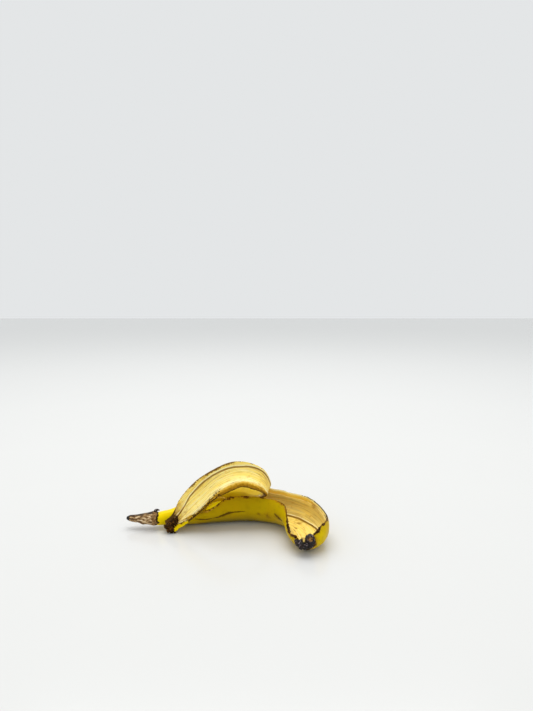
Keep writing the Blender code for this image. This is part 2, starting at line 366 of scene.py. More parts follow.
across = packed(61, 1.25)[None, :]
bevel = blend(STRIP_BEVEL, station) * loose
ragged = loose * (0.45 * uneven(lengthwise / 5.5, 4.5, 42) + 0.35 * uneven(lengthwise / 2.2, 8.5, 43))
frayed = loose * (0.4 * uneven(lengthwise / 6.5, 2.5, 44) + 0.3 * uneven(lengthwise / 2.6, 6.5, 45))
rind_from, rind_to = -half_width - bevel + ragged, half_width + 0.5 * frayed
rind_across = rind_from + (rind_to - rind_from) * (across + 1) / 2
lining_from, lining_to = -half_width - 0.4 * frayed, half_width + 0.3 * ragged
lining_across = lining_from + (lining_to - lining_from) * (across + 1) / 2


def over_top(near, far):
    """Angles of the strip's columns, over the top from the near to the far torn edge."""
    return 360 - near + (far + near - 360) * (across + 1) / 2


strip_angles = over_top(*blend(BODY, body_at).T[3:, :, None])
on_lining = groove_distance(across)
relief = 0.11 * uneven(lengthwise / 36, across * 12, 46) + 0.06 * uneven(lengthwise / 8, across * 6, 47)
relief = relief - 0.2 * bell(on_lining, 0.8) + 0.25 * bell(on_lining + 1.6, 0.9)
for place, deep in LESSER_GROOVES:
    wander = 0.03 * uneven(lengthwise / 20, place * 9, 48)
    relief = relief - deep * bell((across - place - wander) * half_width, 0.6)
depth = STRIP_SKIN * (1 - 0.3 * np.abs(across) ** 4) + relief
strip_dents = 0.22 * uneven(lengthwise / 15, across * 1.7, 49) + 0.07 * uneven(lengthwise / 5, across * 5, 50)
seated_rind = body_points(body_at, strip_angles)
seated_lining = body_points(body_at, strip_angles, sheet_thickness(body_at, np.abs(across)))
loose_rind = strip_points(rind_across, -strip_dents)
loose_lining = strip_points(lining_across, depth - strip_dents)
strip_rind = seated_rind * (1 - loose[..., None]) + loose_rind * loose[..., None]
strip_lining = seated_lining * (1 - loose[..., None]) + loose_lining * loose[..., None]

# ------------------------------------------------------------------------------ Neck and dry stem
# The skin closes round the fruit's neck, and behind it is the stem where the fruit hung: dried
# brown fibre, shrunken into furrows, with a ragged dark collar over the yellow neck. It is solid,
# so inside the neck the lining ends in a rounded pocket.

# Dry stem behind the neck: plan position, height of the axis, half width and half height.
STALK = (
    (-103.4, -17.4, 9.8, 1.3, 1.2),
    (-101.6, -17.4, 9.8, 2.2, 2.2),
    (-96.0, -17.7, 9.6, 3.7, 3.4),
    (-88.0, -18.1, 9.7, 5.2, 4.8),
    (-80.0, -18.3, 9.9, 6.3, 5.9),
    (-76.6, -18.0, 9.8, 6.9, 6.5),
    (-74.6, -17.6, 9.5, 6.3, 6.2),
)
STEM_TIP = np.array((-103.5, -17.4, 9.8))
FURROW = 0.5
COLLAR = 0.3
COLLAR_AT = -1.9
POCKET = 3.0


def dry_distance(at, angle):
    """Millimetres back from the ragged line round the neck where the dry stem ends."""
    line = COLLAR_AT + 1.2 * uneven(0.5, angle / 60, 34, 6) + 0.9 * uneven(0.5, angle / 24, 35, 15)
    return line - at[:, None]


def stalk_points(at, angle):
    """Points of the stem: an ellipse about its axis, with furrows where a random height crosses zero,
    fibres between them, a collar that stands proud up to a ragged line, and a bulge underneath."""
    at_neck = np.array((0.0, 3.0))
    x, y, heading = centreline(at_neck)
    wide, high, base = blend(BODY, at_neck).T[:3]
    neck = np.column_stack((at_neck, x, y, base + high, wide, high, heading))
    stem = np.array(STALK)
    stem = np.column_stack((stem[:, 0] - BODY_START[0], stem, 0 * stem[:, 0]))
    x, y, z, wide, high, heading = (value[:, None] for value in blend(np.vstack((stem, neck)), at).T)
    turn = np.radians(angle)
    lengthwise = at[:, None]
    dry = ease(lengthwise, 0, -3) * np.clip(wide / 5, 0.25, 1)
    furrows = bell(uneven(lengthwise / 13, angle / 24, 31, 15), 0.2)
    fibres = 0.16 * uneven(lengthwise / 9, angle / 8, 32, 45)
    fibres = fibres + 0.28 * uneven(lengthwise / 7, angle / 45, 33, 8)
    collar = COLLAR * ease(dry_distance(at, angle), 0, 0.7) * ease(lengthwise, -12, -3)
    bulge = 0.9 * bell(lengthwise + 15.5, 2.2) * bell(np.mod(angle + 180, 360) - 180, 38)
    out = dry * (fibres - FURROW * furrows) + collar + bulge
    out = out + rind_relief(at, angle) * ease(lengthwise, -6, 0)
    aside = (wide + out) * np.sin(turn)
    z = z - (high + out) * np.cos(turn)
    return np.stack((x - aside * np.sin(heading), y + aside * np.cos(heading), z), axis=-1)


stem_rows = np.concatenate((
    np.linspace(-31.4, -29.4, 7), np.linspace(-28.8, -6, 36), np.linspace(-5.6, -0.25, 22),
))
neck_rows = np.linspace(0, SLIT, 20)


def ring_angles(at, top):
    """Angles round the neck below the tears' line, or above it, that meet the trough and the strip."""
    edges = blend(BODY, at).T[3:, :, None]
    return over_top(*edges) if top else round_bottom(*edges)


def neck_skin(top, last):
    """The stem and the neck up to the slit, whose last row is the first row of the skin beyond it."""
    stem = stalk_points(stem_rows, ring_angles(stem_rows, top))
    neck = body_points(neck_rows[:-1], ring_angles(neck_rows[:-1], top))
    return np.concatenate((np.broadcast_to(STEM_TIP, stem[:1].shape), stem, neck, last[None]))


neck_below = neck_skin(False, rind[0])
neck_above = neck_skin(True, strip_rind[0])
x, y, heading = (value[0] for value in centreline(np.array((SLIT,))))
wide, high, base = blend(BODY, np.array((SLIT,)))[0, :3]
pocket_centre = np.array((x, y, base + high))
pocket_way = np.array((math.cos(heading), math.sin(heading), 0.0))


def pocket(ring):
    """Rounded end of the hollow: the ring of lining shrinks by the cosine of an angle from 0 to 90
    and goes back by the sine of it."""
    turn = np.linspace(0, math.pi / 2, 6)[:, None, None]
    return pocket_centre + (ring[None] - pocket_centre) * np.cos(turn) - POCKET * np.sin(turn) * pocket_way


# ------------------------------------------------------------------------------ Torn edges
# Where the skin tore, its section shows: rind, tan fibrous flesh and the edge of the lining. It
# dries brown from the outside in. Each lip below joins a rind's edge to its lining's edge.

# Shares of the way from the rind's edge to the lining's.
LIP = np.array((0, 0.05, 0.1, 0.16, 0.25, 0.36, 0.48, 0.6, 0.72, 0.84, 0.93, 1.0))[None, :]
# The slanted tear goes square through this much rind, in the first part of the lip.
SQUARE_DEPTH = 0.9
SQUARE_PART = 0.1


def lip_points(outer, inner, away, proud, at, seed):
    """Torn section from the rind's edge to the lining's: a straight run, rounded outwards by half a
    sine wave and roughened along the fibres."""
    lengthwise = at[:, None]
    rough = 0.5 * uneven(lengthwise / 1.6, 4 * LIP, seed) + 0.4 * uneven(lengthwise / 5, 2 * LIP, seed + 1)
    bulge = proud[:, None] * np.sin(np.pi * LIP) * (0.45 + 0.7 * (0.5 + rough))
    return outer[:, None] + (inner - outer)[:, None] * LIP[..., None] + bulge[..., None] * away


def onwards(grid, edge, neighbour):
    """Unit direction in which a sheet runs on past its edge, for each row."""
    way = grid[:, edge] - grid[:, neighbour]
    return (way / np.linalg.norm(way, axis=1, keepdims=True))[:, None]


def end_section(outer, inner):
    """Section across a sheet's last row, straight from the rind to the lining."""
    return outer + (inner - outer) * LIP.T[..., None]


body_proud = 0.5 * between(rows, SLIT, SLIT + 8, BODY_LENGTH - 2, BODY_LENGTH)
near_lip = lip_points(rind[:, 0], lining[:, 0], onwards(rind, 0, 6), body_proud, rows, 51)
far_lip = lip_points(rind[:, -1], lining[:, -1], onwards(rind, -1, -7), body_proud, rows, 53)
end_lip = end_section(rind[-1], lining[-1])
strip_proud = 0.4 * between(station, 4, 12, STRIP_STATIONS - 3, STRIP_STATIONS)
strip_far_lip = lip_points(strip_rind[:, -1], strip_lining[:, -1], chord_way, strip_proud, station, 55)
straight = lip_points(strip_rind[:, 0], strip_lining[:, 0], chord_way, 0 * station, station, 57)
past_rind = np.clip((LIP - SQUARE_PART) / (1 - SQUARE_PART), 0, 1)
slant = rind_from + (lining_from - rind_from) * past_rind
under = SQUARE_DEPTH * np.clip(LIP / SQUARE_PART, 0, 1) + (depth[:, :1] - SQUARE_DEPTH) * past_rind
rough = 0.22 * uneven(lengthwise / 1.7, LIP * 5, 58) + 0.16 * uneven(lengthwise / 7, LIP * 9, 59)
slanted = strip_points(slant, under + rough * np.sin(np.pi * LIP) * np.clip(bevel, 0.3, 2.5))
shaped = loose * ease(lengthwise, STRIP_STATIONS, STRIP_STATIONS - 3)
strip_near_lip = straight + (slanted - straight) * shaped[..., None]
strip_near_lip[:, 0], strip_near_lip[:, -1] = strip_rind[:, 0], strip_lining[:, 0]
strip_end_lip = end_section(strip_rind[-1], strip_lining[-1])

# ------------------------------------------------------------------------------ Sewing the skin
# The patches above are one closed sheet. Where they meet, their corners lie on each other and are
# made one. Each corner also keeps where it lies on the peel, for the finishes to read.

# Distance along the body and round it, distance to a torn edge, share of the way through a lip from
# rind to lining, distance to a scuff, crease or groove, tone, which also carries painted shade and
# painted highlights, bruising, and distance into the stem.
MARKS = ("along", "around", "edge", "lip", "line", "tone", "brown", "dry")
RIND, LINING, TORN, STEM = range(4)
# What the edge and line marks say where no edge or line is near, and the dry mark far from the stem.
FAR_OFF = 9.0
NOT_DRY = -50.0

# Scuffs of the near wall: distance along the body, angle and half width at points along each.
SCUFFS = (
    ((33, -76, 0.4), (38, -67, 0.8), (45, -63, 0.7), (50, -66, 0.3), (55, -68, 0.8),
     (61, -73.5, 1.3), (66, -80, 1.2), (72, -81.5, 0.6), (85, -82.5, 0.25)),
    ((128, -84.5, 0.3), (131, -82.5, 1.0), (137, -78, 1.2), (144, -76, 1.1), (148, -75.5, 0.4)),
)
# Soft brown marks on the rind: distance along the body, angle, half length, half width and strength.
# The first four are on the near wall, and the others on the sides away from it.
BRUISES = (
    (102, -76, 4, 2, 0.6),
    (136, -80, 9, 4, 0.6),
    (116, -72, 9, 5, 0.5),
    (64, -74, 9, 4, 0.4),
    (60, 95, 7, 3, 1),
    (92, 70, 4, 2, 1),
    (128, 60, 6, 3, 1),
    (165, 55, 3, 4, 1),
    (178, 20, 6, 3, 1),
)
# The same for the lining: four on the trough's floor, and one high on its far wall.
SMUDGES = (
    (140, 14, 3.5, 4, 0.8),
    (146, -12, 2.8, 2.6, 1),
    (154.5, -30.5, 3.5, 1.1, 1),
    (143, -34, 7, 2, 0.5),
    (148, 99, 5, 2.6, 0.75),
)
# How far the torn edges have browned, at distances along the body: near rind, far rind, far lining.
BROWNED = (
    (16, 0.6, 0.4, -1.6),
    (60, 0.5, 0.4, -1.6),
    (90, 0.5, 0.4, -1.6),
    (104, -0.6, 0.4, -1.6),
    (124, -0.6, 0.4, -1.6),
    (142, 0.5, 0.5, -0.6),
    (160, 0.7, 0.5, -0.4),
    (167, 0.9, 0.9, 0.9),
    (192, 1.3, 1.1, 1.2),
    (195, 0.8, 0.8, 0.4),
)


def patch(points, finish, turned, **marks):
    """One grid of points with its finish and the marks at its corners; `turned` says that its faces
    have to be turned round to face outwards."""
    marks = {"dry": NOT_DRY, **marks}
    return points, finish, turned, [np.broadcast_to(marks.get(name, 0.0), points.shape[:2]) for name in MARKS]


def scuff_distance(at, angle):
    """Distance to the nearest scuff in half widths of it: the way round to its line, or the way along
    to its nearer end."""
    nearest = np.full(angle.shape, FAR_OFF)
    for scuff in SCUFFS:
        along, place, half = np.array(scuff).T
        aside = (angle - np.interp(at, along, place)[:, None]) * degree_length(at)
        beyond = np.maximum(np.maximum(along[0] - at, at - along[-1]), 0)[:, None]
        nearest = np.minimum(nearest, np.hypot(aside, beyond) / np.interp(at, along, half)[:, None])
    return nearest


def spots(at, angle, places):
    """Soft marks added up, each a bell curve along the body times one round it."""
    total = 0
    for along, turn, half_length, half_round, strength in places:
        off = (np.mod(angle - turn + 180, 360) - 180) * degree_length(at)
        total = total + strength * bell(at[:, None] - along, half_length) * bell(off, half_round)
    return total


row = rows[:, None]
per_degree = degree_length(rows)
to_edge = np.where(columns < 0, (1 + columns) * near, (1 - columns) * far) * per_degree
to_edge = np.minimum(to_edge, BODY_LENGTH + 0.5 - row)
up_wall = crease_distance(rows, lining_angles)
crease = np.where(row > 116, up_wall + 0.35, FAR_OFF)
# The far wall's lining is painted tan against the cream floor, partly as painted shade where the wall faces
# away from the light. A band along the far rim is painted paler, a painted highlight, and golden, a painted
# glow of light through the thin rim where the yellow rind also shows through.
golden_rim_glow = between(row, 98, 104, 132, 152)
gilt_rim_glow = golden_rim_glow + 0.45 * between(row, 132, 152, 179, 187)
floor_tone = 0.28 + 0.3 * ease(lining_angles, -25, -55)
wall_tone = 0.56 + 0.14 * ease(row, 150, 125) - 0.1 * ease(row, 150, 138)
wall_tone = wall_tone + 0.08 * between(to_edge, 3, 6, 7, 12)
wall_tone = wall_tone - 0.38 * ease(to_edge, 3.8, 1.8) * ease(row, 172, 160)
lining_tone = floor_tone + (wall_tone - floor_tone) * ease(up_wall, -0.5, 1.0)
lining_tone = lining_tone - 1.2 * gilt_rim_glow * ease(to_edge, 3.4, 1.9) * (columns > 0)
lining_brown = 0.8 * spots(rows, lining_angles, SMUDGES) + 0.7 * ease(row, 189, 195)
near_browned, far_browned, inner_browned = blend(BROWNED, rows).T[:, :, None]
rind_edge = to_edge - np.where(columns < 0, near_browned, far_browned)
lining_edge = to_edge - np.where(columns < 0, 0.3 * near_browned, inner_browned)
rind_brown = spots(rows, angles, BRUISES) + 0.6 * ease(row, 191, 195)
# The underside is painted darker olive, a painted shade, up to this many degrees from the bottom,
# which reach further up the near wall where the folded strip shades it.
underside_shade_to = 50 + 32 * between(row, 34, 50, 90, 112)
painted_underside_shade = ease(np.abs(angles), underside_shade_to, underside_shade_to - 60) * ease(row, SLIT, SLIT + 14)
# The far lip is painted pale, a painted highlight along the top of the rim, and golden at its lining
# over the middle of the trough, a painted glow of light through it. It is dark along its rind towards
# the blossom end.
far_lip_light_tone = -1.5 - 1.5 * golden_rim_glow * ease(LIP, 0.7, 0.8)
far_outline = 0.7 * ease(row, 126, 132) + 0.3 * ease(row, 146, 154)
far_brown = 0.35 * inner_browned + 0.1 + far_outline * ease(LIP, 0.7, 0.45)
sheet = [
    patch(rind, RIND, True, along=row, around=angles * per_degree, edge=rind_edge, lip=0.0,
          line=scuff_distance(rows, angles), tone=painted_underside_shade, brown=np.clip(rind_brown, 0, 1)),
    patch(lining, LINING, False, along=row, around=lining_angles * per_degree, edge=lining_edge, lip=1.0,
          line=crease, tone=lining_tone, brown=np.clip(lining_brown, 0, 1)),
    patch(near_lip, TORN, False, along=row, around=3 * LIP, lip=LIP, tone=0.2,
          brown=np.clip(0.1 + 0.4 * near_browned, 0, 1)),
    patch(far_lip, TORN, True, along=row, around=3 * LIP, lip=LIP, tone=far_lip_light_tone, brown=far_brown),
    patch(end_lip, TORN, True, along=BODY_LENGTH, around=angles[-1:] / 8, lip=LIP.T, brown=1.0),
]

strip_along = SLIT + steps[:, None]
# The rind is coloured by its distance along the body. Where the strip lies in place under its fold it
# is painted bright yellow like the neck, a painted highlight in the fold's shade: as at 26 mm at most,
# and as at 70 mm along its near edge.
rind_along_highlit = 70 - 44 * ease(across, -0.85, -0.55) * ease(lengthwise, 100, 92)
rind_along_highlit = np.where(lengthwise < 100, np.minimum(strip_along, rind_along_highlit), strip_along)
# The rind has cracked pale at the start of the fold, and browned across it.
cracks = bell(lengthwise - 90, 3.0) * bell(across + 0.72, 0.14)
strip_brown = ease(lengthwise, 218, 226) + bell(lengthwise - 97, 4.0)
tip_brown = np.maximum(
    ease(lengthwise - 5 * (1 - across), 210, 219),
    0.75 * bell(on_lining, 1.5) * ease(lengthwise, 200, 208),
)
tip_brown = np.maximum(tip_brown, 0.3 * ease(lengthwise, 196, 206))
# The strip's lining is painted paler along its near edge, a painted highlight, and a little darker beyond the
# groove, a painted shade. It also darkens just past the fold and browns towards the bruised end.
strip_tone_and_light = 0.21 + 0.08 * ease(on_lining, -0.4, 0.8) + 0.14 * bell(lengthwise - 110, 10)
strip_tone_and_light = strip_tone_and_light - 0.16 * bell(across + 0.8, 0.25) - 0.2 * bell(across + 0.97, 0.07)
strip_tone_and_light = strip_tone_and_light - 0.08 * ease(lengthwise, 198, 208)
strip_tone_and_light = strip_tone_and_light + 0.5 * ease(lengthwise - 4 * (1 - across), 202, 216)
# How much less the near edge of the rind and of the lining has browned, and how much more the far.
fresh_rind = 0.6 * between(lengthwise, 104, 109, 150, 160)
fresh_lining = 0.8 - 0.7 * between(lengthwise, 158, 168, 199, 207)
far_dark = 1.5 * between(lengthwise, 138, 144, 186, 196)
strip_rind_edge = np.minimum(rind_across - rind_from + fresh_rind, rind_to - rind_across)
strip_lining_edge = np.minimum(
    lining_across - lining_from + fresh_lining,
    lining_to - lining_across - far_dark + 0.4,
)
# From this row on, rind wraps round the near edge in place of torn flesh.
wrapped = int(np.searchsorted(station, 205.0))
sheet += [
    patch(strip_rind, RIND, False, along=rind_along_highlit, around=100 + rind_across, edge=strip_rind_edge, lip=0.0,
          line=FAR_OFF, tone=-cracks, brown=np.clip(strip_brown, 0, 1)),
    patch(strip_lining, LINING, True, along=strip_along, around=100 + lining_across, edge=strip_lining_edge,
          lip=1.0, line=on_lining, tone=strip_tone_and_light, brown=tip_brown),
    # The strip's torn near edge is painted darker olive than the body's (tone 1) and browns from station 156,
    # partly painted shade under the strip's edge.
    patch(strip_near_lip[:wrapped + 1], TORN, True, along=strip_along[:wrapped + 1], around=-5 * LIP,
          lip=0.12 + 0.88 * LIP, tone=1.0, brown=0.5 * ease(lengthwise[:wrapped + 1], 156, 168)),
    patch(strip_near_lip[wrapped:], RIND, True, along=12.0, around=-5 * LIP, edge=4.5 * (1 - LIP),
          line=FAR_OFF, brown=0.8 * ease(lengthwise[wrapped:], 219, 225)),
    patch(strip_far_lip, TORN, False, along=strip_along, around=3 * LIP, lip=LIP, tone=0.3,
          brown=np.clip(0.3 + 0.4 * far_dark + 0.5 * tip_brown[:, -1:], 0, 1)),
    patch(strip_end_lip, TORN, False, along=strip_along[-1], around=across * 10, lip=LIP.T, brown=1.0),
]

neck_at = np.concatenate(((-31.5,), stem_rows, neck_rows))
# The last rows of the stem, round the collar, take the rind's finish, which dries out towards it.
ripe_from = len(stem_rows) - 20
for skin, top in ((neck_below, False), (neck_above, True)):
    ring = ring_angles(neck_at, top)
    from_side = (1 - np.abs(across)) * 9 if top else (1 - np.abs(columns)) * 16
    marks = dict(along=neck_at[:, None], around=ring * degree_length(neck_at),
                 edge=np.hypot(SLIT - neck_at[:, None], from_side), dry=dry_distance(neck_at, ring))
    dark_top = 0.8 * ease(np.abs(np.mod(ring + 180, 360) - 180), 135, 165)
    stem_marks = {name: value[:ripe_from] for name, value in marks.items()}
    neck_marks = {name: value[ripe_from - 1:] for name, value in marks.items()}
    sheet += [
        patch(skin[:ripe_from], STEM, not top, line=FAR_OFF, brown=dark_top[:ripe_from], **stem_marks),
        patch(skin[ripe_from - 1:], RIND, not top, line=FAR_OFF, **neck_marks),
    ]
for ring, top in ((lining[0], False), (strip_lining[0], True)):
    sheet.append(patch(pocket(ring), LINING, not top, along=SLIT, edge=FAR_OFF, lip=1.0,
                       line=FAR_OFF, tone=0.6))


def sewn(patches):
    """One mesh from the patches: corners on one place become one, each grid square becomes a face,
    and a square with two corners on one place becomes a triangle. Gives the points, faces, finishes,
    each point's marks and each face corner's marks."""
    points = np.concatenate([grid.reshape(-1, 3) for grid, finish, turned, at_corners in patches])
    marks = np.concatenate([np.stack(at_corners, -1).reshape(-1, len(MARKS))
                            for grid, finish, turned, at_corners in patches])
    squares, finishes, start = [], [], 0
    for grid, finish, turned, at_corners in patches:
        index = start + np.arange(grid.shape[0] * grid.shape[1]).reshape(grid.shape[:2])
        square = np.stack((index[:-1, :-1], index[1:, :-1], index[1:, 1:], index[:-1, 1:]), -1).reshape(-1, 4)
        squares.append(square[:, ::-1] if turned else square)
        finishes.append(np.full(len(square), finish))
        start += index.size
    squares, finishes = np.concatenate(squares), np.concatenate(finishes)
    # Corners closer than about a ten-thousandth of a millimetre lie on one place.
    places = np.round(points * 1e4).astype(np.int64)
    first, same = np.unique(places, axis=0, return_index=True, return_inverse=True)[1:]
    same = same.reshape(-1)[squares]
    kept = same != np.roll(same, 1, axis=1)
    whole = kept.sum(axis=1)
    full, three = whole == 4, whole == 3
    corners = np.concatenate((squares[full].reshape(-1), squares[three][kept[three]]))
    faces = same[full].tolist() + same[three][kept[three]].reshape(-1, 3).tolist()
    finishes = np.concatenate((finishes[full], finishes[three]))
    return points[first], faces, finishes, marks[first], marks[corners]


def add_mesh(name, points, faces, marks, corner_marks):
    """Object at the origin whose mesh has these points, given in millimetres of the layout. Its marks
    are attributes, and the first two are its UV map too, in metres."""
    mesh = bpy.data.meshes.new(name)
    mesh.from_pydata(((points + ORIGIN) * MM).tolist(), [], faces)
    mesh.shade_smooth()
    for mark, values in zip(MARKS, marks.T):
        mesh.attributes.new(mark, "FLOAT", "POINT").data.foreach_set("value", values.astype(np.float32))
    flat = mesh.uv_layers.new(name="skin")
    flat.uv.foreach_set("vector", (corner_marks[:, :2] * MM).astype(np.float32).ravel())
    piece = bpy.data.objects.new(name, mesh)
    bpy.context.scene.collection.objects.link(piece)
    return piece


points, faces, finishes, marks, corner_marks = sewn(sheet)
peel = add_mesh("peel_skin_sheet", points, faces, marks, corner_marks)
peel.data.polygons.foreach_set("material_index", finishes.astype(np.int32))

# ------------------------------------------------------------------------------ Finishes of the skin
# The rind is a waxy cuticle over yellow cells, with scuffs and bruises dried brown. The lining is
# soft spongy tissue, cream where it is fresh and tan where it has dried. Torn flesh browns from the
# rind inwards, and the stem is dry fibre. Painted shade and painted highlights are mixed into these
# colours too.


def linear(code):
    """Linear colour of an sRGB hex code."""
    parts = [int(code[i:i + 2], 16) / 255 for i in (1, 3, 5)]
    parts = [((part + 0.055) / 1.055) ** 2.4 if part > 0.04045 else part / 12.92 for part in parts]
    return (*parts, 1.0)


def node(tree, kind, *feeds, give=0, stops=(), **settings):
    """Adds one shader node with its settings and colour stops. Links or sets its live inputs in their
    order (a hex code is a colour, and None leaves an input alone), and gives one of its outputs."""
    made = tree.nodes.new("ShaderNode" + kind)
    for name, value in settings.items():
        setattr(made, name, value)
    for count, (place, code) in enumerate(stops):
        stop = made.color_ramp.elements[count] if count < 2 else made.color_ramp.elements.new(place)
        stop.position, stop.color = place, linear(code)
    for socket, feed in zip([socket for socket in made.inputs if socket.enabled], feeds):
        if isinstance(feed, bpy.types.NodeSocket):
            tree.links.new(feed, socket)
        elif feed is not None:
            socket.default_value = linear(feed) if isinstance(feed, str) else feed
    return made.outputs[give] if give else [socket for socket in made.outputs if socket.enabled][0]


def begin(name, roughness):
    """A new material, its tree, its shader and where the finish lies on the piece."""
    made = bpy.data.materials.new(name)
    made.use_nodes = True
    tree = made.node_tree
    shader = tree.nodes["Principled BSDF"].inputs
    shader["Roughness"].default_value = roughness
    return made, tree, shader, node(tree, "TexCoord", give="Object")


SMOOTH = dict(interpolation_type="SMOOTHSTEP")
TIMES = dict(operation="MULTIPLY")
PLUS = dict(operation="ADD")
TIMES_PLUS = dict(operation="MULTIPLY_ADD")
SIZE_OF = dict(operation="ABSOLUTE")
PAINT = dict(data_type="RGBA")

# Ripe rind: smooth under its wax, so it shows soft yellow highlights. The fruit's middle is riper
# and browner than its ends. Its colour drifts over some 24 mm and is mottled over 6 mm; scuffs,
# bruises and torn edges have dried brown, with ragged borders that the finer noises give them.
rind_finish, tree, shader, place = begin("ripe_waxy_rind", 0.42)
mark = {name: node(tree, "Attribute", attribute_name=name, give="Fac")
        for name in ("along", "tone", "brown", "line", "edge", "dry")}
drift = node(tree, "TexNoise", place, 1 / (24 * MM), 2)
mottle = node(tree, "TexNoise", place, 1 / (6 * MM), 3)
freckle = node(tree, "TexNoise", place, 1 / (2.4 * MM), 1)
fine = node(tree, "TexNoise", place, 1 / (1.6 * MM), 3)
crust = node(tree, "TexNoise", place, 1 / (0.9 * MM), 2)
wax = node(tree, "TexNoise", place, 1 / (0.7 * MM), 2)
bruised = node(tree, "Math", mottle, 1.0, mark["brown"], **TIMES_PLUS)
bruised = node(tree, "Math", fine, 0.7, bruised, **TIMES_PLUS)
ragged_line = node(tree, "Math", fine, 2.6, mark["line"], **TIMES_PLUS)
frayed_edge = node(tree, "Math", mottle, 8.0, mark["edge"], **TIMES_PLUS)
frayed_edge = node(tree, "Math", fine, 4.5, frayed_edge, **TIMES_PLUS)
stem_side = node(tree, "Math", fine, 1.6, mark["dry"], **TIMES_PLUS)
ripe = node(tree, "MapRange", mark["along"], 10, 50, 0.2, 1, **SMOOTH)
freckled = node(tree, "MapRange", mark["along"], 110, 175, 0.15, 1)
drier = node(tree, "MapRange", mark["along"], 90, 130, 0.4, 1)
moister = node(tree, "MapRange", mark["along"], 158, 174, 1, 0.25)
broken = node(tree, "MapRange", fine, 0.55, 0.63, **SMOOTH)
scorched = node(tree, "Mix", node(tree, "MapRange", crust, 0.42, 0.6), "#2C1405", "#86520C", **PAINT)
dead = node(tree, "Mix", node(tree, "MapRange", fine, 0.4, 0.62), "#6E4C2A", "#B48E60", **PAINT)
length = node(tree, "MapRange", mark["along"], 0, BODY_LENGTH)
colour = node(tree, "ValToRGB", length, stops=(
    (0.0, "#FFDE00"), (0.09, "#F6D600"), (0.2, "#C4A500"),
    (0.45, "#BB9D00"), (0.7, "#CDB100"), (0.9, "#E2C300")))
# Coats of colour from the lowest up: what each follows, the values at which it begins and is full,
# how much it covers there, what else holds it back, and its colour.
for follows, begins, full, covers, limits, paint in (
        (drift, 0.38, 0.66, 0.5, (ripe,), "#C49C00"),
        (mottle, 0.5, 0.75, 0.4, (ripe,), "#A68800"),
        (freckle, 0.66, 0.74, 0.7, (freckled,), "#7A4E06"),
        # Painted shade: the underside, darker olive where the tone mark is high.
        (mark["tone"], 0, 1, 0.8, (), "#807402"),
        (bruised, 1.05, 1.5, 0.55, (), "#8E5E04"),
        (bruised, 1.4, 1.85, 0.85, (), "#4A2C08"),
        (ragged_line, 3.6, 2.2, 0.5, (), "#7A5604"),
        (ragged_line, 2.5, 1.8, 0.85, (), "#3A2403"),
        (mark["tone"], -0.3, -0.9, 1, (broken,), "#EFE3C4"),
        (frayed_edge, 9.2, 7.5, 0.8, (drier, moister), "#B07A14"),
        (frayed_edge, 7.15, 6.4, 0.95, (), scorched),
        (stem_side, 0.5, 0.9, 1, (), "#2A170B"),
        (stem_side, 1.5, 2.1, 0.9, (), dead)):
    share = node(tree, "MapRange", follows, begins, full, 0, covers, **SMOOTH)
    for limit in limits:
        share = node(tree, "Math", share, limit, **TIMES)
    colour = node(tree, "Mix", share, colour, paint, **PAINT)
tree.links.new(colour, shader["Base Color"])
dull = node(tree, "MapRange", bruised, 1.4, 1.85, 0.34, 0.51, **SMOOTH)
tree.links.new(node(tree, "Math", fine, 0.16, dull, **TIMES_PLUS), shader["Roughness"])
pits = node(tree, "Math", mottle, 1.5, fine, **TIMES_PLUS)
pits = node(tree, "Math", wax, 0.5, pits, **TIMES_PLUS)
tree.links.new(node(tree, "Bump", 0.5, 0.00016, None, pits), shader["Normal"])
shader["Specular IOR Level"].default_value = 0.22
shader["Specular Tint"].default_value = linear("#FFE070")
shader["Subsurface Weight"].default_value = 0.1
shader["Subsurface Scale"].default_value = 1.8 * MM
shader["Subsurface Radius"].default_value = (1.0, 0.6, 0.1)

# Spongy lining: matt and soft, streaked lengthwise a millimetre or so apart where the fruit's
# strings lay, cream when fresh and tan when dried, with brown lines in its grooves. Its tan on the
# far wall is partly painted shade, and its rims and groove edges carry painted highlights and a
# painted golden glow.
lining_finish, tree, shader, place = begin("cream_spongy_lining", 0.62)
mark = {name: node(tree, "Attribute", attribute_name=name, give="Fac")
        for name in ("tone", "line", "edge", "brown")}
flat_place = node(tree, "UVMap", uv_map="skin")
stretched = node(tree, "Mapping", flat_place, None, None, (1 / (26 * MM), 1 / (0.9 * MM), 1))
streak = node(tree, "TexNoise", stretched, 1, 4, 0.6)
stretched = node(tree, "Mapping", flat_place, None, None, (1 / (40 * MM), 1 / (3.2 * MM), 1))
band = node(tree, "TexNoise", stretched, 1, 2)
stretched = node(tree, "Mapping", flat_place, None, None, (1 / (60 * MM), 1 / (2.2 * MM), 1))
string = node(tree, "TexNoise", stretched, 1, 2)
sponge = node(tree, "TexNoise", place, 1 / (1.1 * MM), 3)
speck = node(tree, "TexNoise", place, 1 / (5 * MM), 3)
# A string runs where its noise crosses a half. The groove or crease is a brown line, partly brown
# string and partly painted shade, made ragged by the streaks, and a pale line runs beside it, a
# painted highlight.
off_string = node(tree, "Math", node(tree, "Math", string, -0.5, **PLUS), 0, **SIZE_OF)
thready = node(tree, "Math", streak, 1.4, mark["line"], **TIMES_PLUS)
off_highlight = node(tree, "Math", node(tree, "Math", thready, -2.0, **PLUS), 0, **SIZE_OF)
off_brown_and_shade = node(tree, "Math", node(tree, "Math", thready, -0.7, **PLUS), 0, **SIZE_OF)
yellow_and_glow = node(tree, "Math", streak, 0.8, mark["tone"], **TIMES_PLUS)
frayed_edge = node(tree, "Math", speck, 4.5, mark["edge"], **TIMES_PLUS)
frayed_edge = node(tree, "Math", sponge, 4.0, frayed_edge, **TIMES_PLUS)
bruised = node(tree, "Math", speck, 1.2, mark["brown"], **TIMES_PLUS)
bruised = node(tree, "Math", streak, 1.2, bruised, **TIMES_PLUS)
tan = node(tree, "Math", band, 0.6, mark["tone"], **TIMES_PLUS)
